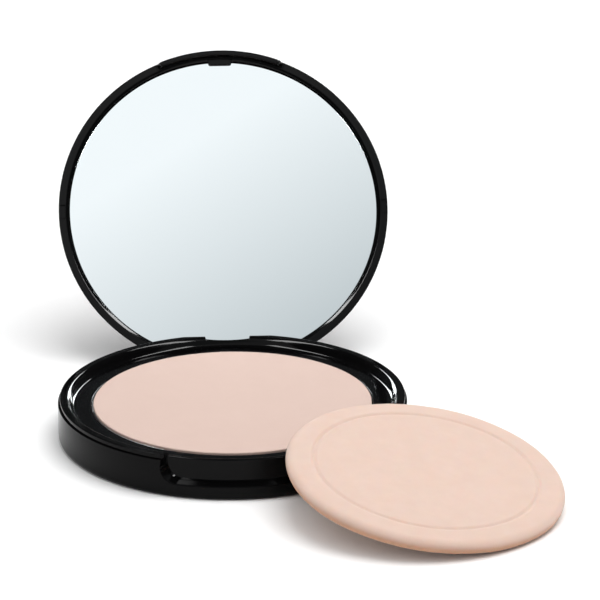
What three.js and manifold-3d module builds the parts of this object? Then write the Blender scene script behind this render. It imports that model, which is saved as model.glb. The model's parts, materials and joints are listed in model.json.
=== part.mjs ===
// Round pressed-powder compact, open, with its foam puff leaning on the front rim.
// Millimetres, +Z up. The origin is the centre of the underside, the hinge is at +Y.
import * as THREE from 'three';
import { mergeVertices } from 'three/addons/utils/BufferGeometryUtils.js';
import Module from 'manifold-3d';

const wasm = await Module();
wasm.setup();

// Resolution of the round parts.
const ROUND_SEGMENTS = 72;
const ARC_DIVISIONS = 2;
const PIN_SEGMENTS = 24;
const ACROSS_SEGMENTS = 36;

// How far a cutter passes beyond the case.
const CUT_CLEAR = 3;

// Base shell.
const CASE_RADIUS = 37;
const WALL_INNER_RADIUS = 35.5;
const WALL_TOP = 8;
const FLOOR_TOP = 1.2;
const FOOT_ROUND = 1;
const WALL_ROUND = 0.3;

// Inner tray: raised ring, trough and powder well.
const RING_RADIUS = 36.6;
const RING_TOP = 9;
const RING_INNER_RADIUS = 35;
const RING_CHAMFER = 0.2;
const BROW_RADIUS = 34.45;
const BROW_TOP = 8.45;
const SLOPE_FOOT_RADIUS = 33.85;
const SKIRT_OUTER_RADIUS = 35.45;
const SKIRT_INNER_RADIUS = 34;
const SKIRT_BOTTOM = 1.25;
const TROUGH_RADIUS = 33.4;
const TROUGH_TOP = 7.25;
const WELL_RADIUS = 29.85;
const WELL_FLOOR = 4;
const TRAY_THICKNESS = 1;
const SEAM_GAP = 0.05;

// Pan, its glue disc and the pressed cake.
const PAN_RADIUS = 29.55;
const PAN_SHEET = 0.35;
const PAN_BOTTOM = 4.2;
const PAN_TOP = 7;
const GLUE_RADIUS = 26;
const CAKE_RADIUS = 29.1;
const CAKE_BROW_RADIUS = 29.5;
const CAKE_TOP = 7.65;
const CAKE_CHAMFER = 0.15;
const GLUE_GAP = 0.02;

// Hinge.
const HINGE_Y = 34.6;
const HINGE_Z = 4.6;
const OPEN_ANGLE = THREE.MathUtils.degToRad(124);
const KNUCKLE_RADIUS = 1.8;
const ARM_HALF_WIDTH = 4.6;
const ARM_BACK = 1.2;
const ARM_TOP_INSET = 0.2;
const SLOT_HALF_WIDTH = 4.85;
const SLOT_FRONT = 34.4;
const SLOT_SILL = 1.45;
const EAR_REACH = 11.8;
const EAR_FRONT = 32.4;
const EAR_TOP = 6.4;
const EAR_ROOM_SIDE = 0.3;
const EAR_ROOM_TOP = 0.2;
const PIN_RADIUS = 0.75;
const PIN_BORE_RADIUS = 0.8;
const PIN_START = -10.8;
const PIN_END = 11.4;
const PIN_END_GAP = 0.2;
const RELIEF_RADIUS = 4.38;
const RELIEF_ANGLE = THREE.MathUtils.degToRad(17);
const RELIEF_LENGTH = 20;
const RELIEF_HEIGHT = 4;

// Thumb scoop at the front and the lid's lip that drops into it.
const SCOOP_RADIUS = 35;
const SCOOP_HALF_ANGLE = THREE.MathUtils.degToRad(24.2);
const SCOOP_FLARE_PER_MM = THREE.MathUtils.degToRad(0.78);
const SCOOP_BOTTOM = 3.8;
const SCOOP_SLOPE = 0.4;
const SCOOP_CORNER = 3.6;
const SCOOP_LAND_RADIUS = 33.4;
const SCOOP_LAND_TOP = 8.3;
const LIP_INNER_RADIUS = 35.2;
const LIP_HALF_ANGLE = THREE.MathUtils.degToRad(23.3);
const LIP_TIP = 7.2;
const LIP_TAPER = THREE.MathUtils.degToRad(1.6);
const LIP_TIP_INSET = 0.25;
const LIP_ROOT_INSET = 0.05;
const LIP_ROOT_HEIGHT = 0.4;

// Lid, in its closed place.
const RIM_FACE = 9.05;
const RIM_RADIUS = 36.65;
const RIM_CHAMFER = 0.15;
const RIM_UNDERCUT = 0.4;
const FRAME_BACK = 9.85;
const FRAME_INNER_RADIUS = 34.4;
const FRAME_INNER_STEP = 0.3;
const SPIGOT_RADIUS = 34.95;
const SPIGOT_TOP = 10.9;
const SPIGOT_GAP = 0.1;
const LID_SEAM = 9.95;
const LID_CEILING = 11;
const LID_EDGE_CENTRE_RADIUS = 31;
const LID_EDGE_CENTRE_HEIGHT = 9.2;
const LID_EDGE_WIDTH = 5.35;
const LID_EDGE_HEIGHT = 3.1;
const LID_EDGE_START = Math.asin((LID_SEAM - LID_EDGE_CENTRE_HEIGHT) / LID_EDGE_HEIGHT);
const LID_EDGE_END = THREE.MathUtils.degToRad(78);
const LID_CROWN_RADIUS = 18;
const LID_TOP = 12.75;
const MIRROR_RADIUS = 34.3;
const MIRROR_FACE = 9.75;
const MIRROR_BACK = 10.75;
const TAPE_RADIUS = 32.5;
const CATCH_ROOT_HALF_WIDTH = 2.9;
const CATCH_TIP_HALF_WIDTH = 2.4;
const CATCH_ROOT_REACH = 34.7;
const CATCH_TIP_REACH = 33.6;
const CATCH_THICKNESS = 0.4;
const RIM_NOTCH_RADIUS = 35.7;
const RIM_NOTCH = new THREE.Vector3(1.2, 3, 0.6);

// Foam puff.
const PUFF_RADIUS = 28.8;
const PUFF_THICKNESS = 3.2;
const PUFF_TOP_CENTRE = new THREE.Vector3(38.1, -42.75, 8.42);
const PUFF_LEAN = THREE.MathUtils.degToRad(11);
const PUFF_BEARING = THREE.MathUtils.degToRad(-42);

const blackPlastic = new THREE.MeshStandardMaterial({ color: 0x151517, roughness: 0.22, metalness: 0 });
const innerPlastic = new THREE.MeshStandardMaterial({ color: 0x1b1c1e, roughness: 0.35, metalness: 0 });
const aluminium = new THREE.MeshStandardMaterial({ color: 0xc9cbce, roughness: 0.35, metalness: 1 });
const steel = new THREE.MeshStandardMaterial({ color: 0xb8babd, roughness: 0.3, metalness: 1 });
const powder = new THREE.MeshStandardMaterial({ color: 0xe8d0c4, roughness: 0.95, metalness: 0 });
const silveredGlass = new THREE.MeshStandardMaterial({ color: 0xe6f0f3, roughness: 0.03, metalness: 1 });
const glue = new THREE.MeshStandardMaterial({ color: 0xe9e6dc, roughness: 0.7, metalness: 0 });
const foam = new THREE.MeshStandardMaterial({ color: 0xf0d2c5, roughness: 0.95, metalness: 0 });

// Turns a closed three.js geometry into a manifold solid.
function toSolid(geometry) {
  geometry.deleteAttribute('normal');
  geometry.deleteAttribute('uv');
  const merged = mergeVertices(geometry, 1e-5);
  const corners = merged.index.array;
  const kept = [];
  for (let i = 0; i < corners.length; i += 3) {
    const [a, b, c] = [corners[i], corners[i + 1], corners[i + 2]];
    if (a !== b && b !== c && c !== a) kept.push(a, b, c);
  }
  const mesh = new wasm.Mesh({
    numProp: 3,
    vertProperties: Float32Array.from(merged.attributes.position.array),
    triVerts: Uint32Array.from(kept),
  });
  return new wasm.Manifold(mesh);
}

function toGeometry(solid) {
  const mesh = solid.getMesh();
  const geometry = new THREE.BufferGeometry();
  geometry.setAttribute('position', new THREE.BufferAttribute(mesh.vertProperties, 3));
  geometry.setIndex(new THREE.BufferAttribute(mesh.triVerts, 1));
  geometry.computeVertexNormals();
  return geometry;
}

// Revolves an outline drawn in (radius, height) about the Z axis.
function revolve(outline) {
  const geometry = new THREE.LatheGeometry(outline.getPoints(ARC_DIVISIONS), ROUND_SEGMENTS);
  geometry.rotateX(Math.PI / 2);
  return toSolid(geometry);
}

function outlineOf(points) {
  const outline = new THREE.Path();
  outline.moveTo(points[0][0], points[0][1]);
  for (const [radius, height] of points.slice(1)) outline.lineTo(radius, height);
  return outline;
}

function disc(radius, bottom, top) {
  return revolve(outlineOf([[0, bottom], [radius, bottom], [radius, top], [0, top]]));
}

function block(low, high) {
  const size = new THREE.Vector3().subVectors(high, low);
  const geometry = new THREE.BoxGeometry(size.x, size.y, size.z);
  geometry.translate((low.x + high.x) / 2, (low.y + high.y) / 2, (low.z + high.z) / 2);
  return toSolid(geometry);
}

// A round bar along X on the hinge line.
function hingeBar(radius, start, end) {
  const geometry = new THREE.CylinderGeometry(radius, radius, end - start, PIN_SEGMENTS);
  geometry.rotateZ(Math.PI / 2);
  geometry.translate((start + end) / 2, HINGE_Y, HINGE_Z);
  return toSolid(geometry);
}

// A block wrapped around the front of the case. place(t, low, outer) gives the angle from
// the front, radius and height of a corner, with t running from -1 to 1 across the block.
function wrapAcrossFront(place) {
  const geometry = new THREE.BoxGeometry(2, 1, 1, ACROSS_SEGMENTS, 1, 1);
  const position = geometry.attributes.position;
  for (let i = 0; i < position.count; i += 1) {
    const outer = position.getY(i) < 0;
    const low = position.getZ(i) < 0;
    const { angle, radius, height } = place(position.getX(i), low, outer);
    position.setXYZ(i, radius * Math.sin(angle), -radius * Math.cos(angle), height);
  }
  return toSolid(geometry);
}

// The scoop falls and widens outwards, and its lower corners are rounded.
function scoopCutter() {
  return wrapAcrossFront((t, low, outer) => {
    const radius = outer ? CASE_RADIUS + CUT_CLEAR : SCOOP_RADIUS;
    const halfAngle = SCOOP_HALF_ANGLE + SCOOP_FLARE_PER_MM * (radius - SCOOP_RADIUS);
    const angle = t * halfAngle;
    const toEnd = (halfAngle - Math.abs(angle)) * CASE_RADIUS;
    const intoCorner = Math.max(0, SCOOP_CORNER - toEnd);
    const rise = SCOOP_CORNER - Math.sqrt(Math.max(0, SCOOP_CORNER ** 2 - intoCorner ** 2));
    const floor = SCOOP_BOTTOM - SCOOP_SLOPE * (radius - SCOOP_RADIUS) + rise;
    return { angle, radius, height: low ? floor : RING_TOP + CUT_CLEAR };
  });
}

// Lowers the ring to a narrow land behind the scoop.
function landCutter() {
  return wrapAcrossFront((t, low, outer) => ({
    angle: t * SCOOP_HALF_ANGLE,
    radius: outer ? CASE_RADIUS + CUT_CLEAR : SCOOP_LAND_RADIUS,
    height: low ? SCOOP_LAND_TOP : RING_TOP + CUT_CLEAR,
  }));
}

function lidLip() {
  return wrapAcrossFront((t, low, outer) => ({
    angle: t * (low ? LIP_HALF_ANGLE - LIP_TAPER : LIP_HALF_ANGLE),
    radius: outer ? RIM_RADIUS - (low ? LIP_TIP_INSET : LIP_ROOT_INSET) : LIP_INNER_RADIUS,
    height: low ? LIP_TIP : RIM_FACE + LIP_ROOT_HEIGHT,
  }));
}

// The opening at the back in which the lid's arm swings.
function armSlot(front, sill) {
  return block(
    new THREE.Vector3(-SLOT_HALF_WIDTH, front, sill),
    new THREE.Vector3(SLOT_HALF_WIDTH, CASE_RADIUS + CUT_CLEAR, RING_TOP + CUT_CLEAR),
  );
}

function makeBaseShell() {
  const outline = new THREE.Path();
  outline.moveTo(0, 0);
  outline.lineTo(CASE_RADIUS - FOOT_ROUND, 0);
  outline.absarc(CASE_RADIUS - FOOT_ROUND, FOOT_ROUND, FOOT_ROUND, -Math.PI / 2, 0, false);
  outline.lineTo(CASE_RADIUS, WALL_TOP - WALL_ROUND);
  outline.lineTo(CASE_RADIUS - WALL_ROUND, WALL_TOP);
  outline.lineTo(WALL_INNER_RADIUS, WALL_TOP);
  outline.lineTo(WALL_INNER_RADIUS, FLOOR_TOP);
  outline.lineTo(0, FLOOR_TOP);
  const ears = block(
    new THREE.Vector3(-EAR_REACH, EAR_FRONT, FLOOR_TOP / 2),
    new THREE.Vector3(EAR_REACH, CASE_RADIUS, EAR_TOP),
  ).intersect(disc(CASE_RADIUS - FOOT_ROUND, 0, WALL_TOP));
  return revolve(outline)
    .add(ears)
    .subtract(armSlot(EAR_FRONT - 1, SLOT_SILL))
    .subtract(hingeBar(PIN_BORE_RADIUS, PIN_START - PIN_END_GAP, CASE_RADIUS))
    .subtract(scoopCutter());
}

function makeInnerTray() {
  const wellOuter = WELL_RADIUS + TRAY_THICKNESS;
  const wellBottom = WELL_FLOOR - TRAY_THICKNESS;
  const plateBottom = TROUGH_TOP - TRAY_THICKNESS;
  const flangeBottom = WALL_TOP + SEAM_GAP;
  const ring = outlineOf([
    [0, wellBottom],
    [wellOuter, wellBottom],
    [wellOuter, plateBottom],
    [SKIRT_INNER_RADIUS, plateBottom],
    [SKIRT_INNER_RADIUS, SKIRT_BOTTOM],
    [SKIRT_OUTER_RADIUS, SKIRT_BOTTOM],
    [SKIRT_OUTER_RADIUS, flangeBottom],
    [RING_RADIUS, flangeBottom],
    [RING_RADIUS, RING_TOP - RING_CHAMFER],
    [RING_RADIUS - RING_CHAMFER, RING_TOP],
    [RING_INNER_RADIUS, RING_TOP],
  ]);
  // Convex brow, then a steep slope with a hollow foot at the flat trough.
  ring.quadraticCurveTo(BROW_RADIUS + RING_CHAMFER, RING_TOP, BROW_RADIUS, BROW_TOP);
  ring.quadraticCurveTo(SLOPE_FOOT_RADIUS, TROUGH_TOP, TROUGH_RADIUS, TROUGH_TOP);
  ring.lineTo(WELL_RADIUS, TROUGH_TOP);
  ring.lineTo(WELL_RADIUS, WELL_FLOOR);
  ring.lineTo(0, WELL_FLOOR);
  const earRoom = block(
    new THREE.Vector3(-EAR_REACH - EAR_ROOM_SIDE, EAR_FRONT - EAR_ROOM_SIDE, 0),
    new THREE.Vector3(EAR_REACH + EAR_ROOM_SIDE, CASE_RADIUS, EAR_TOP + EAR_ROOM_TOP),
  );
  // The lid's rim turns over the back of the ring, which is planed to let it pass.
  const relief = new THREE.BoxGeometry(2 * CASE_RADIUS, RELIEF_LENGTH, RELIEF_HEIGHT);
  relief.translate(0, 0, RELIEF_HEIGHT / 2 + RELIEF_RADIUS);
  relief.rotateX(-RELIEF_ANGLE);
  relief.translate(0, HINGE_Y, HINGE_Z);
  return revolve(ring)
    .subtract(earRoom)
    .subtract(armSlot(SLOT_FRONT, 0))
    .subtract(toSolid(relief))
    .subtract(scoopCutter())
    .subtract(landCutter());
}

function makePan() {
  return revolve(outlineOf([
    [0, PAN_BOTTOM],
    [PAN_RADIUS, PAN_BOTTOM],
    [PAN_RADIUS, PAN_TOP],
    [PAN_RADIUS - PAN_SHEET, PAN_TOP],
    [PAN_RADIUS - PAN_SHEET, PAN_BOTTOM + PAN_SHEET],
    [0, PAN_BOTTOM + PAN_SHEET],
  ]));
}

// The cake stands just proud of its pan and hides the pan's edge under a narrow brow.
function makePowderCake() {
  const cakeBottom = PAN_BOTTOM + PAN_SHEET + SEAM_GAP;
  const browBottom = PAN_TOP + SEAM_GAP;
  return revolve(outlineOf([
    [0, cakeBottom],
    [CAKE_RADIUS, cakeBottom],
    [CAKE_RADIUS, browBottom],
    [CAKE_BROW_RADIUS, browBottom],
    [CAKE_BROW_RADIUS, CAKE_TOP - CAKE_CHAMFER],
    [CAKE_BROW_RADIUS - CAKE_CHAMFER, CAKE_TOP],
    [0, CAKE_TOP],
  ]));
}

function makeMirrorFrame() {
  const ring = revolve(outlineOf([
    [FRAME_INNER_RADIUS, RIM_FACE + FRAME_INNER_STEP],
    [RING_INNER_RADIUS, RIM_FACE],
    [RIM_RADIUS - RIM_CHAMFER, RIM_FACE],
    [RIM_RADIUS, RIM_FACE + RIM_CHAMFER],
    [RIM_RADIUS - RIM_UNDERCUT, FRAME_BACK],
    [SPIGOT_RADIUS, FRAME_BACK],
    [SPIGOT_RADIUS, SPIGOT_TOP],
    [FRAME_INNER_RADIUS, SPIGOT_TOP],
    [FRAME_INNER_RADIUS, RIM_FACE + FRAME_INNER_STEP],
  ]));
  const arm = block(
    new THREE.Vector3(-ARM_HALF_WIDTH, HINGE_Y, HINGE_Z),
    new THREE.Vector3(ARM_HALF_WIDTH, HINGE_Y + ARM_BACK, FRAME_BACK - ARM_TOP_INSET),
  );
  const catchTab = new THREE.ExtrudeGeometry(
    new THREE.Shape([
      new THREE.Vector2(-CATCH_ROOT_HALF_WIDTH, -CATCH_ROOT_REACH),
      new THREE.Vector2(CATCH_ROOT_HALF_WIDTH, -CATCH_ROOT_REACH),
      new THREE.Vector2(CATCH_TIP_HALF_WIDTH, -CATCH_TIP_REACH),
      new THREE.Vector2(-CATCH_TIP_HALF_WIDTH, -CATCH_TIP_REACH),
    ]),
    { depth: CATCH_THICKNESS, bevelEnabled: false },
  );
  catchTab.translate(0, 0, RIM_FACE + SEAM_GAP);
  let frame = ring
    .add(arm)
    .add(hingeBar(KNUCKLE_RADIUS, -ARM_HALF_WIDTH, ARM_HALF_WIDTH))
    .add(lidLip())
    .add(toSolid(catchTab))
    .subtract(hingeBar(PIN_BORE_RADIUS, -ARM_HALF_WIDTH - 1, ARM_HALF_WIDTH + 1));
  for (const side of [-1, 1]) {
    const notch = new THREE.BoxGeometry(RIM_NOTCH.x, RIM_NOTCH.y, RIM_NOTCH.z);
    notch.translate(side * RIM_NOTCH_RADIUS, 0, RIM_FACE);
    frame = frame.subtract(toSolid(notch));
  }
  return frame;
}

function makeLidShell() {
  const outline = outlineOf([
    [0, LID_CEILING],
    [SPIGOT_RADIUS + SPIGOT_GAP, LID_CEILING],
    [SPIGOT_RADIUS + SPIGOT_GAP, LID_SEAM],
  ]);
  outline.absellipse(
    LID_EDGE_CENTRE_RADIUS,
    LID_EDGE_CENTRE_HEIGHT,
    LID_EDGE_WIDTH,
    LID_EDGE_HEIGHT,
    LID_EDGE_START,
    LID_EDGE_END,
    false,
  );
  outline.quadraticCurveTo(LID_CROWN_RADIUS, LID_TOP, 0, LID_TOP);
  return revolve(outline);
}

// The puff is a round foam disc with a full round edge, drawn about the middle of its top.
function makePuff() {
  const edge = PUFF_THICKNESS / 2;
  const outline = new THREE.Path();
  outline.moveTo(0, -PUFF_THICKNESS);
  outline.lineTo(PUFF_RADIUS - edge, -PUFF_THICKNESS);
  outline.absarc(PUFF_RADIUS - edge, -edge, edge, -Math.PI / 2, Math.PI / 2, false);
  outline.lineTo(0, 0);
  return revolve(outline);
}

function addMesh(parent, name, solid, material) {
  const mesh = new THREE.Mesh(toGeometry(solid), material);
  mesh.name = name;
  parent.add(mesh);
  return mesh;
}

const compact = new THREE.Group();

addMesh(compact, 'base_shell', makeBaseShell(), blackPlastic);
addMesh(compact, 'inner_tray', makeInnerTray(), innerPlastic);
addMesh(compact, 'pan_glue_disc', disc(GLUE_RADIUS, WELL_FLOOR + GLUE_GAP, PAN_BOTTOM - GLUE_GAP), glue);
addMesh(compact, 'powder_pan', makePan(), aluminium);
addMesh(compact, 'powder_cake', makePowderCake(), powder);
addMesh(compact, 'hinge_pin', hingeBar(PIN_RADIUS, PIN_START, PIN_END), steel);

// The lid is modelled closed and turned open about the hinge line.
const lidTurn = new THREE.Group();
lidTurn.position.set(0, HINGE_Y, HINGE_Z);
lidTurn.rotation.x = -OPEN_ANGLE;
compact.add(lidTurn);
const lid = new THREE.Group();
lid.position.set(0, -HINGE_Y, -HINGE_Z);
lidTurn.add(lid);
addMesh(lid, 'lid_shell', makeLidShell(), blackPlastic);
addMesh(lid, 'mirror_frame', makeMirrorFrame(), innerPlastic);
addMesh(lid, 'mirror', disc(MIRROR_RADIUS, MIRROR_FACE, MIRROR_BACK), silveredGlass);
addMesh(lid, 'mirror_tape', disc(TAPE_RADIUS, MIRROR_BACK + SEAM_GAP, LID_CEILING - SEAM_GAP), glue);

// The puff leans outwards and down, away from the case.
const puff = addMesh(compact, 'foam_puff', makePuff(), foam);
puff.position.copy(PUFF_TOP_CENTRE);
const leanAxis = new THREE.Vector3(-Math.sin(PUFF_BEARING), Math.cos(PUFF_BEARING), 0);
puff.quaternion.setFromAxisAngle(leanAxis, PUFF_LEAN);

export default compact;
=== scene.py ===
"""A round pressed-powder compact, open, with its foam puff leaning on the rim. Metres, +Z up."""

import json
import math

import bmesh
import bpy
from mathutils import Matrix, Vector, noise


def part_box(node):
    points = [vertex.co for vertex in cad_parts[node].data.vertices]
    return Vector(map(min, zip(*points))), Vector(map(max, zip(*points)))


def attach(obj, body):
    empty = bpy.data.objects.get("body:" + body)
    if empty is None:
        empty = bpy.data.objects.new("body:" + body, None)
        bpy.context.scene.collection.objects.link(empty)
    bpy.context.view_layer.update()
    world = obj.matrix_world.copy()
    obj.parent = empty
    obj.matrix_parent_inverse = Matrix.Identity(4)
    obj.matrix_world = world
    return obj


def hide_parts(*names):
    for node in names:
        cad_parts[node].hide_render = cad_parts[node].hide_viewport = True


MM = 0.001
# Angles run round the Z axis, from 0 at the front to this at the back.
FRONT_TO_BACK = math.pi

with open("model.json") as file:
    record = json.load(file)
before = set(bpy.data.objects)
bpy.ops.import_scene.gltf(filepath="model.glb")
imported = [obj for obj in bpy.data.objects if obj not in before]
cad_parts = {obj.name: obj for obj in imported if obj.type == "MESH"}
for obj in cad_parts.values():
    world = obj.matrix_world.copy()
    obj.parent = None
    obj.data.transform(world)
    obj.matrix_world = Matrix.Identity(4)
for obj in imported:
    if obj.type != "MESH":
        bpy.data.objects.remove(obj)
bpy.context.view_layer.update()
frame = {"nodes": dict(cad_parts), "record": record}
joints = {joint["name"]: joint for joint in frame["record"]["behaviour"]["joints"]}


def span(node):
    """Lowest and highest corner of a CAD node, in millimetres."""
    low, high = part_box(node)
    return low / MM, high / MM


# ---------------------------------------------------------------- driving sizes, in millimetres

base_high = span("base_shell")[1]
tray_high = span("inner_tray")[1]
cake_low, cake_high = span("powder_cake")
CASE_RADIUS = base_high.x
WALL = 1.5
WALL_INNER = CASE_RADIUS - WALL
WALL_TOP = base_high.z
WALL_TOP_ROUNDING = 0.22
FLOOR_TOP = 1.2
FOOT_INSET = 4
FOOT_ROUNDING = 1.25
CUT_EDGE = 0.12
RING_RADIUS = tray_high.x
RING_TOP = tray_high.z
BROW_RADIUS = 35.0
SKIRT_GAP = 0.05
SKIRT_WALL = 1.45
SKIRT_OUTER = WALL_INNER - SKIRT_GAP
SKIRT_INNER = SKIRT_OUTER - SKIRT_WALL
SKIRT_BOTTOM = 1.25
FLANGE_UNDER = WALL_TOP + SKIRT_GAP
TROUGH_TOP = RING_TOP - 1.75
TROUGH_RADIUS = 33.4
SLOPE_TOP = Vector((34.45, RING_TOP - 0.55))
SLOPE_PULL = Vector((33.85, TROUGH_TOP + 0.05))
WELL_RADIUS = 29.85
WELL_FLOOR = 4.0
PLATE = 1.0
PLATE_UNDER = TROUGH_TOP - PLATE

HINGE = Vector(joints["lid_hinge"]["pos_m"]) / MM
OPEN_ANGLE = math.radians(joints["lid_hinge"]["range_deg"][1])
SLOT_HALF = 4.85
SLOT_FRONT = 34.4
SLOT_SILL = 1.45
RELIEF_RADIUS = 4.38
RELIEF_ANGLE = math.radians(17)
EAR_REACH = 11.8
EAR_FRONT = 32.4
EAR_BACK_OUTER = 34.5
EAR_BACK_INNER = 36.2
EAR_ROOT = FLOOR_TOP - 0.4
EAR_TOP = 6.4
EAR_BEVEL = 0.2
OVER_EARS = EAR_TOP + 0.25
KNUCKLE_RADIUS = 1.8
ARM_HALF = 4.6
ARM_BACK = 1.2
PIN_RADIUS = 0.75
BORE_RADIUS = 0.8

SCOOP_HALF = math.radians(24.2)
SCOOP_FLARE_PER_MM = math.radians(0.78)
SCOOP_RADIUS = 35.0
SCOOP_BOTTOM = 3.8
SCOOP_SLOPE = 0.4
SCOOP_CORNER = 3.4
LAND_TOP = 8.3

RIM_FACE = RING_TOP + 0.05
RIM_RADIUS = 36.65
FRAME_INNER = 34.4
FRAME_BACK = 9.85
SPIGOT_RADIUS = 34.95
SPIGOT_TOP = 10.9
LIP_HALF = math.radians(23.3)
LIP_TAPER = math.radians(1.9)
LIP_TIP = 7.2
LIP_INNER = 35.2
LIP_OUTER = 36.4
NOTCH_HALF = 1.5 / 35.7
NOTCH_DEPTH = 0.28
LID_SEAM = 9.95
LID_CEILING = 11.0
LID_TOP = 12.75
MIRROR_RADIUS = 34.3
MIRROR_FACE = 9.75
MIRROR_BACK = 10.75

PUFF_RADIUS = 28.8
PUFF_THICKNESS = 3.2
PUFF_EDGE = PUFF_THICKNESS / 2
PUFF_FLAT = PUFF_RADIUS - PUFF_EDGE
GROOVE_RADIUS = 23.2
GROOVE_WIDTH = 0.42
GROOVE_DEPTH = 0.32

# ---------------------------------------------------------------- mesh helpers

SHARP_ANGLE = math.radians(50)
MERGE_DISTANCE = 1e-8
CORNER_STEPS = 5
# The share of a side that the rounding at one of its ends may take.
CORNER_SHARE = 0.48
UNSEEN_BEVEL = 0.001
# Millimetres from the Z axis within which a point has no clear direction outwards.
AT_THE_AXIS = 0.01


def link(name, mesh, material):
    """Turns a bmesh into a smooth-shaded object in the scene."""
    data = bpy.data.meshes.new(name)
    mesh.to_mesh(data)
    mesh.free()
    data.shade_smooth()
    data.set_sharp_from_angle(angle=SHARP_ANGLE)
    data.materials.append(material)
    piece = bpy.data.objects.new(name, data)
    bpy.context.collection.objects.link(piece)
    weighted = piece.modifiers.new("weighted_normals", "WEIGHTED_NORMAL")
    weighted.keep_sharp = True
    return piece


def softened(corners, closed):
    """Rounds an outline's (radius, height, reach) corners. A reach of 0 keeps a corner sharp."""
    count = len(corners)
    points = []
    for i, (radius, height, reach) in enumerate(corners):
        here = Vector((radius, height))
        if reach == 0 or (not closed and i in (0, count - 1)):
            points.append(here)
            continue
        before = Vector(corners[i - 1][:2]) - here
        after = Vector(corners[(i + 1) % count][:2]) - here
        start = here + before.normalized() * min(reach, before.length * CORNER_SHARE)
        end = here + after.normalized() * min(reach, after.length * CORNER_SHARE)
        for step in range(CORNER_STEPS + 1):
            t = step / CORNER_STEPS
            points.append(start * (1 - t) ** 2 + here * (2 * t * (1 - t)) + end * t * t)
    return points


def sweep(name, columns, material, closed=False, turned=None):
    """A closed mesh through (angle from the front, corners) columns that go once round the Z axis.
    turned, where given, moves an angle at a radius."""
    mesh = bmesh.new()
    rings = []
    for angle, corners in columns:
        ring = []
        for point in softened(corners, closed):
            bearing = turned(angle, point.x) if turned else angle
            x = point.x * math.sin(bearing)
            y = -point.x * math.cos(bearing)
            ring.append(mesh.verts.new(Vector((x, y, point.y)) * MM))
        rings.append(ring)
    for near, far in zip(rings, rings[1:] + rings[:1]):
        last = len(near) if closed else len(near) - 1
        for i in range(last):
            j = (i + 1) % len(near)
            mesh.faces.new((near[i], near[j], far[j], far[i]))
    bmesh.ops.remove_doubles(mesh, verts=mesh.verts, dist=MERGE_DISTANCE)
    bmesh.ops.dissolve_degenerate(mesh, edges=mesh.edges, dist=MERGE_DISTANCE)
    bmesh.ops.recalc_face_normals(mesh, faces=mesh.faces)
    return link(name, mesh, material)


def smooth_step(t):
    """Eases from 0 to 1 while t goes from 0 to 1."""
    t = min(1.0, max(0.0, t))
    return t * t * (3 - 2 * t)


def steady(start, end, count):
    """Evenly spaced angles from start to end, both included."""
    return [start + (end - start) * i / (count - 1) for i in range(count)]


def both_sides(half):
    """Adds the mirror image to columns that run from the front, angle 0, to the back, angle pi."""
    return half + [(2 * math.pi - angle, corners) for angle, corners in reversed(half[1:-1])]


def plain_round(corners, count=240):
    """Columns of a body of revolution."""
    return [(2 * math.pi * i / count, corners) for i in range(count)]


def ripple(point, height, frequency, offset=Vector((0, 0, 0))):
    """Smooth noise of a height at a point."""
    return height * noise.noise(point * frequency + offset)


def hinge_circle(radius, count):
    """A circle round the hinge line, as an outline in (y, z)."""
    turns = steady(0, 2 * math.pi, count + 1)[:-1]
    return [(HINGE.y + radius * math.cos(a), HINGE.z + radius * math.sin(a)) for a in turns]


def prism(name, outline, low, high, material, bevel):
    """An outline in (x, y) extruded from height low to high, with its edges rounded."""
    mesh = bmesh.new()
    bottom = [mesh.verts.new(Vector((x, y, low)) * MM) for x, y in outline]
    top = [mesh.verts.new(Vector((x, y, high)) * MM) for x, y in outline]
    mesh.faces.new(bottom[::-1])
    mesh.faces.new(top)
    count = len(outline)
    for i in range(count):
        j = (i + 1) % count
        mesh.faces.new((bottom[i], bottom[j], top[j], top[i]))
    bmesh.ops.recalc_face_normals(mesh, faces=mesh.faces)
    bmesh.ops.bevel(
        mesh, geom=mesh.edges[:], offset=bevel * MM, segments=3, profile=0.5, affect="EDGES"
    )
    return link(name, mesh, material)


def transformed(piece, matrix):
    """Moves a piece's mesh, and leaves its object at the origin."""
    piece.data.transform(matrix)
    piece.data.update()
    return piece


def cut(piece, cutter):
    """Subtracts one closed object from another and removes the cutter."""
    boolean = piece.modifiers.new("cut", "BOOLEAN")
    boolean.operation = "DIFFERENCE"
    boolean.solver = "EXACT"
    boolean.object = cutter
    weighted = piece.modifiers["weighted_normals"]
    weighted.show_viewport = False
    bpy.context.view_layer.update()
    graph = bpy.context.evaluated_depsgraph_get()
    piece.data = bpy.data.meshes.new_from_object(piece.evaluated_get(graph))
    piece.modifiers.remove(boolean)
    weighted.show_viewport = True
    piece.data.set_sharp_from_angle(angle=SHARP_ANGLE)
    bpy.data.objects.remove(cutter)
    return piece


# Lid pieces are drawn closed and then turned open about the hinge line.
LID_OPEN = (
    Matrix.Translation(HINGE * MM)
    @ Matrix.Rotation(-OPEN_ANGLE, 4, "X")
    @ Matrix.Translation(-HINGE * MM)
)
# Turns an outline drawn in (x, y) and extruded along Z into one in (y, z) extruded along X.
ACROSS = Matrix(((0, 0, 1, 0), (1, 0, 0, 0), (0, 1, 0, 0), (0, 0, 0, 1)))


# ---------------------------------------------------------------- materials


def shader(name, colour, roughness, **inputs):
    """A principled material, and the node tree and shader node to add detail to."""
    material = bpy.data.materials.new(name)
    material.use_nodes = True
    tree = material.node_tree
    principled = tree.nodes["Principled BSDF"]
    principled.inputs["Base Color"].default_value = (*colour, 1)
    principled.inputs["Roughness"].default_value = roughness
    for key, value in inputs.items():
        principled.inputs[key.replace("_", " ")].default_value = value
    return material, tree, principled


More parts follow.
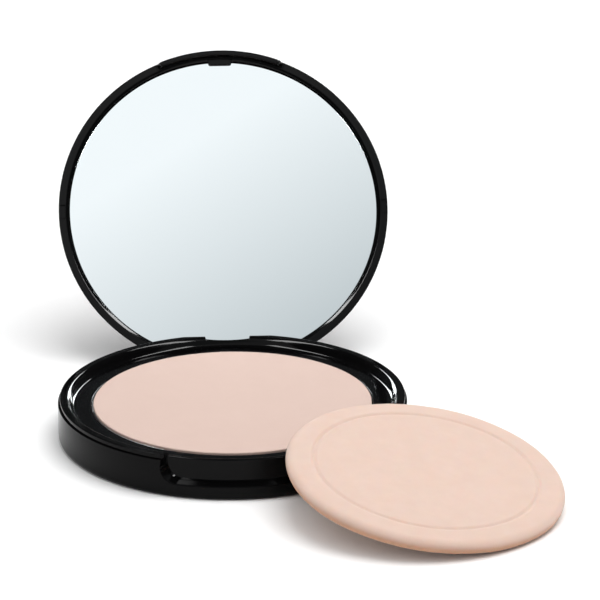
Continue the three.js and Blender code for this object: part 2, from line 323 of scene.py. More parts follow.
def noise_field(tree, size, detail, stretch=(1, 1, 1)):
    """Noise in object space, whose features are about size millimetres across."""
    place = tree.nodes.new("ShaderNodeTexCoord")
    scale = tree.nodes.new("ShaderNodeMapping")
    scale.inputs["Scale"].default_value = stretch
    field = tree.nodes.new("ShaderNodeTexNoise")
    field.inputs["Scale"].default_value = 1 / (size * MM)
    field.inputs["Detail"].default_value = detail
    tree.links.new(place.outputs["Object"], scale.inputs["Vector"])
    tree.links.new(scale.outputs["Vector"], field.inputs["Vector"])
    return field.outputs["Fac"]


def spread(tree, field, low, high, from_low=0.3, from_high=0.7):
    """Maps a field onto a range of values."""
    ranged = tree.nodes.new("ShaderNodeMapRange")
    ranged.inputs["From Min"].default_value = from_low
    ranged.inputs["From Max"].default_value = from_high
    ranged.inputs["To Min"].default_value = low
    ranged.inputs["To Max"].default_value = high
    tree.links.new(field, ranged.inputs["Value"])
    return ranged.outputs["Result"]


def tinted(tree, field, first, second, from_low=0.3, from_high=0.7):
    """Blends two colours by a field."""
    blend = tree.nodes.new("ShaderNodeMix")
    blend.data_type = "RGBA"
    blend.inputs["A"].default_value = (*first, 1)
    blend.inputs["B"].default_value = (*second, 1)
    tree.links.new(spread(tree, field, 0, 1, from_low, from_high), blend.inputs["Factor"])
    return blend.outputs["Result"]


def bumped(tree, principled, layers):
    """Chains bump layers (field, height in millimetres) onto the shader's normal."""
    normal = None
    for field, height in layers:
        bump = tree.nodes.new("ShaderNodeBump")
        bump.inputs["Strength"].default_value = 1
        bump.inputs["Distance"].default_value = height * MM
        tree.links.new(field, bump.inputs["Height"])
        if normal is not None:
            tree.links.new(normal, bump.inputs["Normal"])
        normal = bump.outputs["Normal"]
    tree.links.new(normal, principled.inputs["Normal"])


def gloss_black(name, roughness, peel, specular):
    """Moulded gloss plastic with faint flow waviness and finger-wiped roughness.
    peel is the height of the waviness in millimetres."""
    material, tree, principled = shader(
        name, (0.002, 0.002, 0.0022), roughness, Specular_IOR_Level=specular
    )
    wiped = noise_field(tree, size=9, detail=5, stretch=(1, 1.7, 1))
    tree.links.new(
        spread(tree, wiped, roughness * 0.8, roughness * 1.35), principled.inputs["Roughness"]
    )
    tint = noise_field(tree, size=30, detail=2)
    tree.links.new(
        tinted(tree, tint, (0.0015, 0.0015, 0.0017), (0.0022, 0.0021, 0.0023)),
        principled.inputs["Base Color"],
    )
    bumped(tree, principled, [
        (noise_field(tree, size=6, detail=1), peel),
        (noise_field(tree, size=0.12, detail=2), peel * 0.012),
    ])
    return material


def pressed_powder():
    """Matte pressed powder, with a fine grain and a faint mottle."""
    material, tree, principled = shader(
        "pressed_powder", (0.61, 0.454, 0.395), roughness=0.95,
        Specular_IOR_Level=0.15, Sheen_Weight=0.12, Sheen_Roughness=0.6,
    )
    grain = noise_field(tree, size=0.16, detail=4)
    mottle = noise_field(tree, size=5, detail=4)
    fine = tinted(tree, grain, (0.582, 0.435, 0.377), (0.602, 0.451, 0.392))
    patch = tinted(tree, mottle, (0.985, 0.98, 0.98), (1, 1, 1))
    shade = tree.nodes.new("ShaderNodeMix")
    shade.data_type = "RGBA"
    shade.blend_type = "MULTIPLY"
    shade.inputs["Factor"].default_value = 1
    tree.links.new(fine, shade.inputs["A"])
    tree.links.new(patch, shade.inputs["B"])
    tree.links.new(shade.outputs["Result"], principled.inputs["Base Color"])
    bumped(tree, principled, [(mottle, 0.012), (grain, 0.008)])
    return material


def puff_foam():
    """Latex foam with fine pores, painted tanner towards the bottom of its round edge by a point
    attribute.
    """
    material, tree, principled = shader(
        "puff_foam", (0.68, 0.505, 0.423), roughness=0.9,
        Specular_IOR_Level=0.2, Sheen_Weight=0.15, Sheen_Roughness=0.5,
        Subsurface_Weight=0.35, Subsurface_Scale=1.2 * MM,
        Subsurface_Radius=(1.0, 0.4, 0.22),
    )
    pore_size = 0.32
    cells = tree.nodes.new("ShaderNodeTexVoronoi")
    cells.inputs["Scale"].default_value = 1 / (pore_size * MM)
    place = tree.nodes.new("ShaderNodeTexCoord")
    tree.links.new(place.outputs["Object"], cells.inputs["Vector"])
    pores = spread(tree, cells.outputs["Distance"], 0, 1, from_low=0.05, from_high=0.45)
    mottle = noise_field(tree, size=4, detail=4)
    face = tinted(tree, mottle, (0.652, 0.48, 0.402), (0.672, 0.502, 0.423))
    # Painted tanner towards the bottom of the round edge.
    lower_edge_tan = tree.nodes.new("ShaderNodeAttribute")
    lower_edge_tan.attribute_name = "lower_edge_tan"
    tan = tree.nodes.new("ShaderNodeMix")
    tan.data_type = "RGBA"
    tan.inputs["B"].default_value = (0.52, 0.29, 0.185, 1)
    tree.links.new(lower_edge_tan.outputs["Fac"], tan.inputs["Factor"])
    tree.links.new(face, tan.inputs["A"])
    tree.links.new(tan.outputs["Result"], principled.inputs["Base Color"])
    dimples = noise_field(tree, size=0.6, detail=3)
    bumped(tree, principled, [(mottle, 0.04), (dimples, 0.02), (pores, 0.02)])
    return material


def silvered_glass():
    """A mirror with a faint film that dulls it in places."""
    material, tree, principled = shader(
        "silvered_glass", (0.90, 0.95, 0.965), roughness=0.015, Metallic=1.0
    )
    film = noise_field(tree, size=14, detail=4)
    tree.links.new(spread(tree, film, 0.008, 0.03), principled.inputs["Roughness"])
    return material


def drawn_metal(name, colour, roughness):
    """Bare metal with the fine lines of drawing."""
    material, tree, principled = shader(name, colour, roughness, Metallic=1.0)
    drawn = noise_field(tree, size=0.4, detail=4, stretch=(1, 1, 8))
    tree.links.new(
        spread(tree, drawn, roughness * 0.75, roughness * 1.3), principled.inputs["Roughness"]
    )
    bumped(tree, principled, [(drawn, 0.004)])
    return material


def adhesive():
    """Off-white double-sided tape."""
    material, tree, principled = shader("adhesive", (0.75, 0.73, 0.66), roughness=0.55)
    fibres = noise_field(tree, size=0.8, detail=5)
    tree.links.new(
        tinted(tree, fibres, (0.68, 0.66, 0.58), (0.8, 0.78, 0.72)), principled.inputs["Base Color"]
    )
    bumped(tree, principled, [(fibres, 0.02)])
    return material


# Three blacks, because the tray reflects less than the frame of the lid, and the outside is duller.
OUTER_BLACK = gloss_black("outer_black", roughness=0.12, peel=0.02, specular=0.085)
TRAY_BLACK = gloss_black("tray_black", roughness=0.08, peel=0.01, specular=0.1)
FRAME_BLACK = gloss_black("frame_black", roughness=0.08, peel=0.01, specular=0.17)
POWDER = pressed_powder()
FOAM = puff_foam()
SILVER = silvered_glass()
PAN_METAL = drawn_metal("pan_metal", (0.78, 0.79, 0.80), roughness=0.32)
PIN_STEEL = drawn_metal("pin_steel", (0.6, 0.6, 0.61), roughness=0.25)
ADHESIVE = adhesive()


# ---------------------------------------------------------------- base

# Angles, in radians, from the edge of a cut to the next plain column.
CLEAR_OF_CUT = 0.02
CLEAR_OF_SLOT = 0.01


def scoop_columns(section):
    """Columns over the scoop, from its middle to its end. section takes the corner's rise."""
    corner_start = SCOOP_HALF - SCOOP_CORNER / CASE_RADIUS
    flat_steps = 22
    columns = [(angle, section(0.0)) for angle in steady(0, corner_start, flat_steps)]
    turns = 28
    for i in range(1, turns + 1):
        turn = math.pi / 2 * i / turns
        angle = corner_start + SCOOP_CORNER * math.sin(turn) / CASE_RADIUS
        columns.append((angle, section(SCOOP_CORNER * (1 - math.cos(turn)))))
    return columns


def scoop_flare(angle, radius):
    """Opens the scoop's sides outwards, and fades away beyond them."""
    fade = 0.4
    signed = angle if angle <= math.pi else angle - 2 * math.pi
    inside = min(1.0, abs(signed) / SCOOP_HALF)
    beyond = 1 - smooth_step((abs(signed) - SCOOP_HALF - CLEAR_OF_CUT) / fade)
    turn = SCOOP_FLARE_PER_MM * max(0.0, radius - SCOOP_RADIUS) * inside * beyond
    return signed + math.copysign(turn, signed)


def scoop_floor(radius, rise):
    """Height of the scoop's land at a radius."""
    return SCOOP_BOTTOM - SCOOP_SLOPE * (radius - SCOOP_RADIUS) + rise


def rounded_cut(angle, side, radius, section):
    """Three columns that round a cut's top edge, from the cut outwards. section takes the inset."""
    return [
        (angle + side * share * CUT_EDGE / radius, section(inset * CUT_EDGE))
        for share, inset in ((0, 1), (0.3, 0.3), (1, 0))
    ]


def bowl_section(outer_low, outer_top, inner_top, inner_low, inset=0.0):
    """The bowl's floor and wall, with the heights of the wall's corners outside and inside."""
    return [
        (0, 0, 0),
        (CASE_RADIUS - FOOT_INSET, 0, 0),
        (CASE_RADIUS, 0, FOOT_ROUNDING),
        (CASE_RADIUS, outer_low, 0),
        (CASE_RADIUS - inset, outer_top - inset, WALL_TOP_ROUNDING),
        (WALL_INNER + inset, inner_top - inset, 0.1),
        (WALL_INNER, inner_low, 0),
        (WALL_INNER, FLOOR_TOP, 0.4),
        (0, FLOOR_TOP, 0),
    ]


def bowl_scooped(rise):
    """The low wall in front of the scoop."""
    below = 0.6
    outer, inner = scoop_floor(CASE_RADIUS, rise), scoop_floor(WALL_INNER, rise)
    return bowl_section(outer - below, outer, inner, inner - below)


def bowl_full(inset=0.0):
    """The wall at its full height, with its top drawn in by inset."""
    outer_shoulder = scoop_floor(CASE_RADIUS, SCOOP_CORNER)
    inner_shoulder = scoop_floor(WALL_INNER, SCOOP_CORNER)
    return bowl_section(outer_shoulder, WALL_TOP, WALL_TOP, inner_shoulder, inset)


def make_base_shell():
    """The bowl, with the front of the scoop, a slot for the lid's arm and a hole for the pin."""
    slot_start = FRONT_TO_BACK - SLOT_HALF / CASE_RADIUS
    columns = scoop_columns(bowl_scooped)
    columns += rounded_cut(SCOOP_HALF, 1, CASE_RADIUS, bowl_full)
    plain = steady(SCOOP_HALF + CLEAR_OF_CUT, slot_start - CLEAR_OF_CUT, 100)
    columns += [(angle, bowl_full()) for angle in plain]
    columns += rounded_cut(slot_start, -1, CASE_RADIUS, bowl_full)[::-1]
    below_outer, below_inner = 0.3, 0.12
    slot = bowl_section(SLOT_SILL - below_outer, SLOT_SILL, SLOT_SILL, SLOT_SILL - below_inner)
    columns += [(angle, slot) for angle in steady(slot_start, FRONT_TO_BACK, 8)]
    shell = sweep("base_bowl", both_sides(columns), OUTER_BLACK, turned=scoop_flare)

    hole = hinge_circle(BORE_RADIUS, 32)
    drill = prism("drill", hole, EAR_REACH, CASE_RADIUS, OUTER_BLACK, UNSEEN_BEVEL)
    return cut(shell, transformed(drill, ACROSS))


def make_hinge_ears():
    """The two blocks on the floor that hold the pin."""
    ears = []
    for side in (-1, 1):
        outline = [
            (side * SLOT_HALF, EAR_FRONT),
            (side * EAR_REACH, EAR_FRONT),
            (side * EAR_REACH, EAR_BACK_OUTER),
            (side * SLOT_HALF, EAR_BACK_INNER),
        ]
        name = "hinge_ear_left" if side < 0 else "hinge_ear_right"
        ears.append(prism(name, outline, EAR_ROOT, EAR_TOP, OUTER_BLACK, EAR_BEVEL))
    return ears


# ---------------------------------------------------------------- tray

# A step too small to see, which keeps two corners of a section apart.
SLIVER = 0.02
# The skirt's corners, down its inner side and across its foot, and the same above the ears.
SKIRT = [
    (SKIRT_INNER, PLATE_UNDER, 0),
    (SKIRT_INNER, SKIRT_BOTTOM, 0),
    (SKIRT_OUTER, SKIRT_BOTTOM, 0),
]
SHORT_SKIRT = [
    (SKIRT_INNER, PLATE_UNDER, 0),
    (SKIRT_INNER + SLIVER, OVER_EARS, 0),
    (SKIRT_OUTER, OVER_EARS, 0),
]


def tray_slope(level, reach=RING_RADIUS):
    """The hollow slope from the ring down to the trough, kept below a level and inside a radius."""
    foot = Vector((TROUGH_RADIUS, TROUGH_TOP))
    points = []
    for t in steady(0, 1, 14):
        point = SLOPE_TOP * (1 - t) ** 2 + SLOPE_PULL * (2 * t * (1 - t)) + foot * t * t
        points.append((min(point.x, reach), min(point.y, level), 0))
    return points


def across(start, end):
    """Four points between two corners, in even steps."""
    return [
        (start[0] + (end[0] - start[0]) * t, start[1] + (end[1] - start[1]) * t, 0)
        for t in (0.2, 0.4, 0.6, 0.8)
    ]


def tray_section(skirt, tip, brow, slope):
    """skirt and tip are the corners outside the plate, in order, and brow is the slope's top."""
    return [
        (0, WELL_FLOOR - PLATE, 0),
        (WELL_RADIUS + PLATE, WELL_FLOOR - PLATE, 0),
        (WELL_RADIUS + PLATE, PLATE_UNDER, 0),
        *skirt,
        *tip,
        *across(tip[-1], brow),
        brow,
        *slope,
        (WELL_RADIUS, TROUGH_TOP, 0.35),
        (WELL_RADIUS, WELL_FLOOR, 0),
        (0, WELL_FLOOR, 0),
    ]


def tray_full(inset=0.0, reach=RING_RADIUS, skirt=SKIRT):
    """The plain section, with its ring drawn in by inset and reaching out to a radius."""
    tip = [
        (SKIRT_OUTER, FLANGE_UNDER, 0),
        (reach - inset, FLANGE_UNDER, 0.05),
        (reach - inset, RING_TOP - inset, 0.3),
    ]
    brow = (BROW_RADIUS, RING_TOP - inset, 0.5)
    return tray_section(skirt, tip, brow, tray_slope(RING_TOP))


def tray_over_ears(inset=0.0, reach=RING_RADIUS):
    """The plain section with a skirt that stops above the hinge ears."""
    return tray_full(inset, reach, SHORT_SKIRT)


def tray_scooped(rise):
    """The section behind the scoop, whose back wall is the tray's skirt."""
    rim = SKIRT_OUTER - 0.15
    tip = [
        (SKIRT_OUTER, scoop_floor(SKIRT_OUTER, rise), 0),
        (rim, scoop_floor(rim, rise), 0.05),
        (SCOOP_RADIUS, scoop_floor(SCOOP_RADIUS, rise), 0.08),
    ]
    brow = (SCOOP_RADIUS, LAND_TOP, 0.3)
    return tray_section(SKIRT, tip, brow, tray_slope(LAND_TOP))


def tray_notched(angle):
    """The section cut back to a flat face for the lid's arm, with only a stub of its skirt."""
    reach = SLOT_FRONT / math.cos(FRONT_TO_BACK - angle)
    level = SLOPE_TOP.y + (reach - SLOPE_TOP.x)
    stub = [
        (reach - SKIRT_WALL, OVER_EARS, 0),
        (reach - SKIRT_WALL + 0.05, OVER_EARS, 0),
        (reach, OVER_EARS + 0.01, 0),
    ]
    tip = [
        (reach, OVER_EARS + 0.3, 0),
        (reach, OVER_EARS + 0.4, 0.02),
        (reach, level - 0.3, 0.02),
    ]
    brow = (reach, level, 0.1)
    return tray_section(stub, tip, brow, tray_slope(level, reach - SLIVER))


def plane_ring_back(deck):
    """Planes the back of the ring, so that the lid's rim can turn over it."""
    relief = Vector((0, math.sin(RELIEF_ANGLE), math.cos(RELIEF_ANGLE)))
    for vertex in deck.data.vertices:
        place = vertex.co / MM
        above = (place - HINGE).dot(relief) - RELIEF_RADIUS
        if place.y > EAR_FRONT and above > 0:
            vertex.co.z -= above / relief.z * MM


def make_tray():
    """The deck: raised ring, slope, flat trough, powder well and the skirt inside the bowl."""
    clear_of_ear = 0.3
    ear_start = FRONT_TO_BACK - math.asin((EAR_REACH + clear_of_ear) / SKIRT_OUTER)
    slot_start = FRONT_TO_BACK - SLOT_HALF / SKIRT_OUTER
    flush_reach = SKIRT_OUTER + CUT_EDGE + SLIVER

    columns = scoop_columns(tray_scooped)
    columns += [(SCOOP_HALF, tray_full(CUT_EDGE, flush_reach))]
    columns += rounded_cut(SCOOP_HALF, 1, RING_RADIUS, tray_full)
    plain = steady(SCOOP_HALF + CLEAR_OF_CUT, ear_start, 90)
    columns += [(angle, tray_full()) for angle in plain]
    over_ears = steady(ear_start, slot_start - CLEAR_OF_SLOT, 16)
    columns += [(angle, tray_over_ears()) for angle in over_ears]
    columns += rounded_cut(slot_start, -1, RING_RADIUS, tray_over_ears)[::-1]
    columns += [(slot_start, tray_over_ears(CUT_EDGE, flush_reach))]
    columns += [(angle, tray_notched(angle)) for angle in steady(slot_start, FRONT_TO_BACK, 9)]

    deck = sweep("deck", both_sides(columns), TRAY_BLACK, turned=scoop_flare)
    plane_ring_back(deck)
    return deck


# ---------------------------------------------------------------- pan, cake and pin


def make_pan():
    """The drawn metal pan under the powder."""
    low, high = span("powder_pan")
    sheet = 0.35
    inner_radius = high.x - sheet
    inner_floor = low.z + sheet
    return sweep("pan", plain_round([
        (0, low.z, 0),
        (high.x, low.z, 0.5),
        (high.x, high.z, 0.15),
        (inner_radius, high.z, 0.15),
        (inner_radius, inner_floor, 0.3),
        (0, inner_floor, 0),
    ]), PAN_METAL)


def make_cake():
    """The pressed cake: a faint crown, a soft brow at its edge and an uneven face."""
    brow_radius = cake_high.x
    brow_width, brow_drop, crown = 0.25, 0.03, 0.05
    neck_depth, above_pan = 0.4, 0.05
    neck_radius = brow_radius - neck_depth
    neck = span("powder_pan")[1].z + above_pan
    corners = [
        (0, cake_low.z, 0),
        (neck_radius, cake_low.z, 0),
        (neck_radius, neck, 0),
        (brow_radius, neck, 0),
        (brow_radius, cake_high.z - brow_drop, 0.3),
    ]
    rings = 56
    for i in range(1, rings + 1):
        radius = (brow_radius - brow_width) * (1 - i / rings)
        drop = crown * (radius / brow_radius) ** 2
        corners.append((radius, cake_high.z - drop, 0))
    cake = sweep("cake", plain_round(corners, 300), POWDER)

    crumbly_band = 1.2
    sunk = 0.02
    for vertex in cake.data.vertices:
        place = vertex.co / MM
        radius = place.xy.length
        if place.z < neck or radius < AT_THE_AXIS:
            continue
        swell = ripple(place, height=0.02, frequency=0.35)
        swell += ripple(place, height=0.012, frequency=1.6)
        crumble = max(0.0, (radius - brow_radius + crumbly_band) / crumbly_band)
        crumble *= ripple(place, height=0.05, frequency=2.4, offset=Vector((7, 3, 1)))
        vertex.co.z += (swell - sunk) * MM
        vertex.co.x += crumble * place.x / radius * MM
        vertex.co.y += crumble * place.y / radius * MM
    return cake


def make_pin():
    """The steel wire that the lid turns on."""
    low, high = span("hinge_pin")
    pin = prism("pin", hinge_circle(PIN_RADIUS, 48), low.x, high.x, PIN_STEEL, UNSEEN_BEVEL)
    return transformed(pin, ACROSS)


# ---------------------------------------------------------------- lid


def frame_section(points):
    """The lid's inner ring, with points as the corners across its face."""
    return [
        (FRAME_INNER, RIM_FACE + 0.3, 0.08),
        (BROW_RADIUS, RIM_FACE, 0.1),
        *points,
        (RIM_RADIUS - 0.02, RIM_FACE + 0.02, 0.22),
        (RIM_RADIUS - 0.4, FRAME_BACK, 0.08),
        (SPIGOT_RADIUS, FRAME_BACK, 0),
        (SPIGOT_RADIUS, SPIGOT_TOP, 0.08),
        (FRAME_INNER, SPIGOT_TOP, 0.08),
    ]


def frame_lipped(drop):
    """drop is how far the lip stands below the rim's face."""
    tip = RIM_FACE - drop
    return frame_section([
        (LIP_INNER, RIM_FACE, 0.02),
        (LIP_INNER + 0.02, tip, 0.18),
        (LIP_OUTER - 0.05, tip, 0.35),
        (LIP_OUTER + 0.02, RIM_FACE, 0.02),
    ])


def frame_notched(depth):
    """depth is how far the notch goes into the rim's face."""
    return frame_section([
        (LIP_INNER - 0.1, RIM_FACE, 0.02),
        (LIP_INNER - 0.05, RIM_FACE + depth, 0.02),
        (LIP_OUTER - 0.12, RIM_FACE + depth, 0.02),
        (LIP_OUTER - 0.06, RIM_FACE, 0.02),
    ])


def make_mirror_frame():
    """The rim with its lip at the front and a small notch in each side."""
    lip_drop = RIM_FACE - LIP_TIP
    full_lip = steady(0, LIP_HALF - LIP_TAPER, 26)
    columns = [(angle, frame_lipped(lip_drop)) for angle in full_lip]
    taper_steps = 12
    for i in range(1, taper_steps + 1):
        left = 1 - i / taper_steps
        columns.append((LIP_HALF - LIP_TAPER * left, frame_lipped(lip_drop * smooth_step(left))))

    side = math.pi / 2
    clear_of_lip = LIP_HALF + 0.01
    clear_of_notch = NOTCH_HALF + 0.05
    outside, inside = 0.004, 0.002
    before_notch = steady(clear_of_lip, side - clear_of_notch, 40)
    columns += [(angle, frame_lipped(0)) for angle in before_notch]
    columns += [
        (side - NOTCH_HALF - outside, frame_notched(0)),
        (side - NOTCH_HALF + inside, frame_notched(NOTCH_DEPTH)),
        (side, frame_notched(NOTCH_DEPTH)),
        (side + NOTCH_HALF - inside, frame_notched(NOTCH_DEPTH)),
        (side + NOTCH_HALF + outside, frame_notched(0)),
    ]
    after_notch = steady(side + clear_of_notch, FRONT_TO_BACK, 60)
    columns += [(angle, frame_lipped(0)) for angle in after_notch]
    rim = sweep("lid_rim", both_sides(columns), FRAME_BLACK, closed=True)
    return transformed(rim, LID_OPEN)


def make_catch_tab():
    """The small catch tab inside the lip."""
    root_half, shoulder_half, tip_half = 2.85, 2.5, 2.2
    root, shoulder, tip = -34.75, -33.7, -33.55
    outline = [
        (-root_half, root),
        (root_half, root),
        (shoulder_half, shoulder),
        (tip_half, tip),
        (-tip_half, tip),
        (-shoulder_half, shoulder),
    ]
    low, high = RIM_FACE + 0.03, RIM_FACE + 0.45
    tab = prism("catch_tab", outline, low, high, FRAME_BLACK, bevel=0.1)
    return transformed(tab, LID_OPEN)


def make_knuckle():
    """The arm and knuckle that carry the lid on its pin."""
    shoulder = math.acos(ARM_BACK / KNUCKLE_RADIUS)
    below_frame_back = 0.1
    top = FRAME_BACK - HINGE.z - below_frame_back
    outline = [(ARM_BACK, top)]
    for angle in steady(shoulder, -1.5 * math.pi, 44):
        outline.append((KNUCKLE_RADIUS * math.cos(angle), KNUCKLE_RADIUS * math.sin(angle)))
    outline += [(0, top)]
    outline = [(HINGE.y + y, HINGE.z + z) for y, z in outline]
    arm = prism("lid_arm", outline, -ARM_HALF, ARM_HALF, FRAME_BLACK, bevel=0.1)
    transformed(arm, ACROSS)
    bore = hinge_circle(BORE_RADIUS, 40)
    drill = prism("drill", bore, -ARM_HALF - 1, ARM_HALF + 1, FRAME_BLACK, UNSEEN_BEVEL)
    return transformed(cut(arm, transformed(drill, ACROSS)), LID_OPEN)


def make_lid_dome():
    """The thin outer dome: a curve from the seam to the shoulder, and a flatter crown."""
    seam = Vector((36.15, LID_SEAM))
    pull_up, pull_in = Vector((36.05, 11.35)), Vector((34.3, 12.2))
    shoulder = Vector((30.0, 12.42))
    bore_radius = SPIGOT_RADIUS + 0.1
    corners = [
        (0, LID_CEILING, 0),
        (bore_radius, LID_CEILING, 0),
        (bore_radius, LID_SEAM, 0),
        (seam.x, seam.y, 0.1),
    ]
    turns = 18
    for i in range(1, turns + 1):
        t = i / turns
        point = (
            seam * (1 - t) ** 3
            + pull_up * 3 * t * (1 - t) ** 2
            + pull_in * 3 * t * t * (1 - t)
            + shoulder * t ** 3
        )
        corners.append((point.x, point.y, 0))
    rings = 14
    for i in range(1, rings + 1):
        t = i / rings
        height = shoulder.y + (LID_TOP - shoulder.y) * (2 * t - t * t)
        corners.append((shoulder.x * (1 - t), height, 0))
    return transformed(sweep("lid_dome", plain_round(corners), OUTER_BLACK), LID_OPEN)


def make_mirror():
    """The round glass, with a fine bevel round its face."""
    bevel = 0.22
    flat_radius = MIRROR_RADIUS - 3
    mirror = sweep("looking_glass", plain_round([
        (0, MIRROR_FACE, 0),
        (flat_radius, MIRROR_FACE, 0),
        (MIRROR_RADIUS - bevel, MIRROR_FACE, 0.02),
        (MIRROR_RADIUS, MIRROR_FACE + bevel, 0.02),
        (MIRROR_RADIUS, MIRROR_BACK, 0.02),
        (0, MIRROR_BACK, 0),
    ]), SILVER)
    return transformed(mirror, LID_OPEN)


# ---------------------------------------------------------------- foam puff


def puff_place():
    """From the puff drawn flat at the origin to where it leans on the rim."""
    low, high = span("foam_puff")
    middle = (low + high) / 2
    rise = high.z - low.z - PUFF_THICKNESS
    lean = math.asin(rise / (2 * PUFF_RADIUS - PUFF_THICKNESS))
    outwards = Vector(joints["puff_tip"]["axis"]).cross(Vector((0, 0, 1)))
    sideways = Vector((0, 0, 1)).cross(outwards)
    return (
        Matrix.Translation(middle * MM)
        @ Matrix.Rotation(lean, 4, sideways)
        @ Matrix.Rotation(math.atan2(outwards.y, outwards.x), 4, "Z")
    )


def puff_corners():
    """Half outline: flat underside, round edge, and a top with rings enough for the groove."""
    rings = 40
    corners = [(PUFF_FLAT * i / rings, -PUFF_EDGE, 0) for i in range(rings)]
    turns = 18
    for i in range(turns + 1):
        turn = -math.pi / 2 + math.pi * i / turns
        corners.append((PUFF_FLAT + PUFF_EDGE * math.cos(turn), PUFF_EDGE * math.sin(turn), 0))
    top_rings = 150
    for i in range(1, top_rings + 1):
        corners.append((PUFF_FLAT * (1 - i / top_rings), PUFF_EDGE, 0))
    return corners


def mark_lower_edge_tan(puff):
    """Writes where the foam is painted tanner: on the lower part of its round edge, below the
    pressed edge.
    """
    start_height = PUFF_EDGE * 0.6
    start_inside, fade = 1, 1.5
    lower_edge_tan = puff.data.attributes.new("lower_edge_tan", "FLOAT", "POINT")
    for vertex in puff.data.vertices:
        point = vertex.co / MM
        down = smooth_step((start_height - point.z) / PUFF_EDGE)
        outside = smooth_step((point.xy.length - PUFF_FLAT + start_inside) / fade)
        lower_edge_tan.data[vertex.index].value = down * outside


def press_foam(puff):
    """Presses the groove and the outer band into the top, and makes the foam a little uneven."""
    band_drop, pillow_rise = 0.22, 0.12
    for vertex in puff.data.vertices:
        point = vertex.co / MM
        radius = point.xy.length
        if point.z > 0:
            groove = GROOVE_DEPTH * math.exp(-(((radius - GROOVE_RADIUS) / GROOVE_WIDTH) ** 2))
            outwards = (radius - GROOVE_RADIUS) / (PUFF_RADIUS - GROOVE_RADIUS)
            band = band_drop * smooth_step(outwards)
            pillow = pillow_rise * math.cos(min(1.0, radius / GROOVE_RADIUS) * math.pi / 2)
            point.z += (pillow - groove - band) * min(1.0, point.z / PUFF_EDGE)
        swell = ripple(point, height=0.07, frequency=0.12)
        swell += ripple(point, height=0.03, frequency=0.5)
        point.z += swell
        if radius > AT_THE_AXIS:
            in_radii = Vector((point.x, point.y, 0)) / PUFF_RADIUS
            ragged = ripple(in_radii, height=0.12, frequency=2.2)
            point.x += ragged * point.x / radius
            point.y += ragged * point.y / radius
        vertex.co = point * MM


def make_puff():
    """A round of latex foam: a flat middle inside a pressed ring, and a soft outer band."""
    puff = sweep("sponge", plain_round(puff_corners(), 260), FOAM)
    mark_lower_edge_tan(puff)
    press_foam(puff)
    return transformed(puff, puff_place())


# ---------------------------------------------------------------- build the pieces

for piece in make_hinge_ears():
    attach(piece, "base")

for node, maker, body, slot in (
    ("base_shell", make_base_shell, "base", "outer_plastic"),
    ("inner_tray", make_tray, "base", "inner_plastic"),
    ("powder_pan", make_pan, "base", "pan_metal"),
    ("powder_cake", make_cake, "base", "pressed_powder"),
    ("hinge_pin", make_pin, "base", "pin_steel"),
    ("mirror_frame", make_mirror_frame, "lid", "inner_plastic"),
    ("lid_shell", make_lid_dome, "lid", "outer_plastic"),
    ("mirror", make_mirror, "lid", "mirror_glass"),
    ("foam_puff", make_puff, "puff", "puff_foam"),
):
    piece = maker()
    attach(piece, body)
    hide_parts(node)

for maker in (make_catch_tab, make_knuckle):
    piece = maker()
    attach(piece, "lid")

for node in ("pan_glue_disc", "mirror_tape"):
    hidden_disc = frame["nodes"][node]
    hidden_disc.data.materials.clear()
    hidden_disc.data.materials.append(ADHESIVE)


# ---------------------------------------------------------------- studio


def make_floor():
    """A pale floor, just below the underside so that the two faces don't meet."""
    half_side = 4
    gap = 0.02
    mesh = bmesh.new()
    bmesh.ops.create_grid(mesh, x_segments=1, y_segments=1, size=half_side)
    for vertex in mesh.verts:
        vertex.co.z = -gap * MM
    white = (0.95, 0.95, 0.95)
    material = shader("floor_white", white, roughness=0.7, Specular_IOR_Level=0.1)[0]
    floor = link("floor", mesh, material)


def glowing(name):
    """An emitting material, and its node tree and emission node."""
    material = bpy.data.materials.new(name)
    material.use_nodes = True
    tree = material.node_tree
    tree.nodes.clear()
    glow = tree.nodes.new("ShaderNodeEmission")
    output = tree.nodes.new("ShaderNodeOutputMaterial")
    tree.links.new(glow.outputs["Emission"], output.inputs["Surface"])
    return material, tree, glow


def make_tent():
    """A white tent all round, brighter higher up, that the gloss doesn't reflect."""
    radius = 3.9
    mesh = bmesh.new()
    bmesh.ops.create_uvsphere(mesh, u_segments=48, v_segments=24, radius=radius)
    material, tree, glow = glowing("tent_white")
    place = tree.nodes.new("ShaderNodeTexCoord")
    height = tree.nodes.new("ShaderNodeSeparateXYZ")
    tree.links.new(place.outputs["Object"], height.inputs["Vector"])
    strength = spread(tree, height.outputs["Z"], 0.2, 0.94, from_low=0.0, from_high=3.0)
    tree.links.new(strength, glow.inputs["Strength"])
    tent = link("tent", mesh, material)
    tent.visible_glossy = False


def make_front_card():
    """The softly shaded card above the camera that the mirror sees."""
    towards = Vector((0.042, -0.67, 0.74)).normalized()
    mirror_middle = Vector((0, 58, 30)) * MM
    middle = mirror_middle + towards
    half_width, half_height = 0.8, 0.42
    darkening_way = (1, -1.9, 0)
    bright, dim = (0.985, 1.0, 1.01), (0.55, 0.585, 0.6)
    mesh = bmesh.new()
    corners = [
        mesh.verts.new((x * half_width, y * half_height, 0))
        for x, y in ((-1, -1), (1, -1), (1, 1), (-1, 1))
    ]
    mesh.faces.new(corners)
    material, tree, glow = glowing("card_shaded")
    place = tree.nodes.new("ShaderNodeTexCoord")
    slant = tree.nodes.new("ShaderNodeVectorMath")
    slant.operation = "DOT_PRODUCT"
    slant.inputs[1].default_value = darkening_way
    tree.links.new(place.outputs["Object"], slant.inputs[0])
    shades = tinted(tree, slant.outputs["Value"], bright, dim, from_low=-0.13, from_high=0.11)
    tree.links.new(shades, glow.inputs["Color"])
    card = link("front_card", mesh, material)
    facing = towards.to_track_quat("Z", "Y").to_matrix().to_4x4()
    card.matrix_world = Matrix.Translation(middle) @ facing
    card.visible_camera = False
    card.visible_diffuse = False


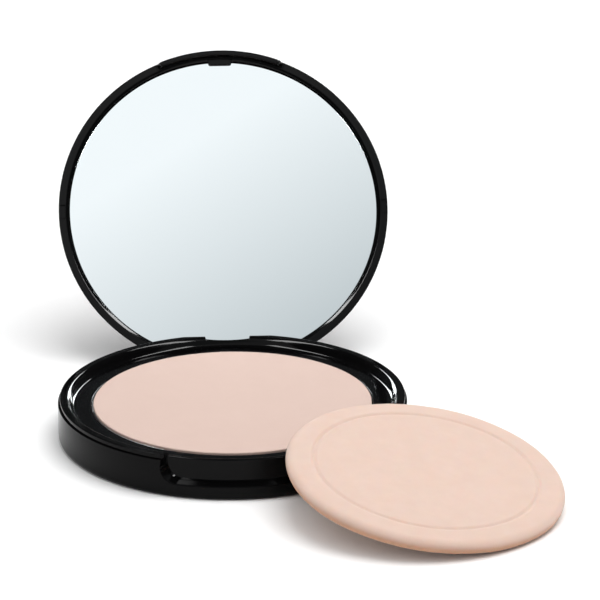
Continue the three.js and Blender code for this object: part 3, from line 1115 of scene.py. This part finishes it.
def area_light(name, place, aim, size, power):
    """A rectangular lamp at place, turned towards aim. size is its two sides in metres."""
    data = bpy.data.lights.new(name, "AREA")
    data.shape = "RECTANGLE"
    data.size, data.size_y = size
    data.energy = power
    light = bpy.data.objects.new(name, data)
    light.location = place
    light.rotation_mode = "QUATERNION"
    light.rotation_quaternion = (Vector(aim) - Vector(place)).to_track_quat("-Z", "Y")
    bpy.context.collection.objects.link(light)
    return light


def make_camera():
    """The photo's own view, slightly from the left and 20 degrees up."""
    azimuth = math.radians(-2.589)
    elevation = math.radians(20.102)
    roll = math.radians(-0.185)
    target = Vector((14.37, 0, 30.03)) * MM
    distance = 943 * MM
    back = Vector((
        math.sin(azimuth) * math.cos(elevation),
        -math.cos(azimuth) * math.cos(elevation),
        math.sin(elevation),
    ))
    right = (-back).cross(Vector((0, 0, 1))).normalized()
    up = right.cross(-back)
    turned_right = right * math.cos(roll) + up * math.sin(roll)
    turned_up = up * math.cos(roll) - right * math.sin(roll)
    data = bpy.data.cameras.new("camera")
    data.lens = 268.9
    data.sensor_width = 36
    data.clip_start, data.clip_end = 0.01, 20
    camera = bpy.data.objects.new("camera", data)
    camera.matrix_world = Matrix((
        (turned_right.x, turned_up.x, back.x, 0),
        (turned_right.y, turned_up.y, back.y, 0),
        (turned_right.z, turned_up.z, back.z, 0),
        (0, 0, 0, 1),
    ))
    camera.location = target + back * distance
    bpy.context.collection.objects.link(camera)
    bpy.context.scene.camera = camera


def make_world():
    """Dim surroundings, which the gloss reflects where nothing else stands."""
    world = bpy.data.worlds.new("studio")
    world.use_nodes = True
    background = world.node_tree.nodes["Background"]
    background.inputs["Color"].default_value = (0.95, 0.98, 1.0, 1)
    background.inputs["Strength"].default_value = 0.1
    bpy.context.scene.world = world


def make_key():
    """A soft overhead light from the right, which the gloss doesn't show."""
    key = area_light("key", (0.32, 0.05, 1.15), (0, 0, 0), size=(1.0, 1.0), power=9.6)
    key.visible_glossy = False


def make_softboxes():
    """Two long lights that only the gloss sees, and that draw the crescents on the ring.
    The bowl is left out, as its scoop would catch a glint that the photo doesn't have."""
    distance = 0.9
    aim = (0, 0, 0.01)
    unlit = bpy.data.collections.new("unlit_by_softboxes")
    unlit.objects.link(bpy.data.objects["base_bowl"])
    unlit.collection_objects[0].light_linking.link_state = "EXCLUDE"
    for side, name in ((-1, "left_softbox"), (1, "right_softbox")):
        place = Vector((side * 0.4385, -0.06, 0.891)) * distance
        softbox = area_light(name, place, aim, size=(0.7, 0.12), power=8)
        softbox.visible_diffuse = False
        softbox.light_linking.receiver_collection = unlit


make_floor()
make_tent()
make_front_card()
make_camera()
make_world()
make_key()
make_softboxes()
bpy.context.scene.view_settings.view_transform = "Standard"
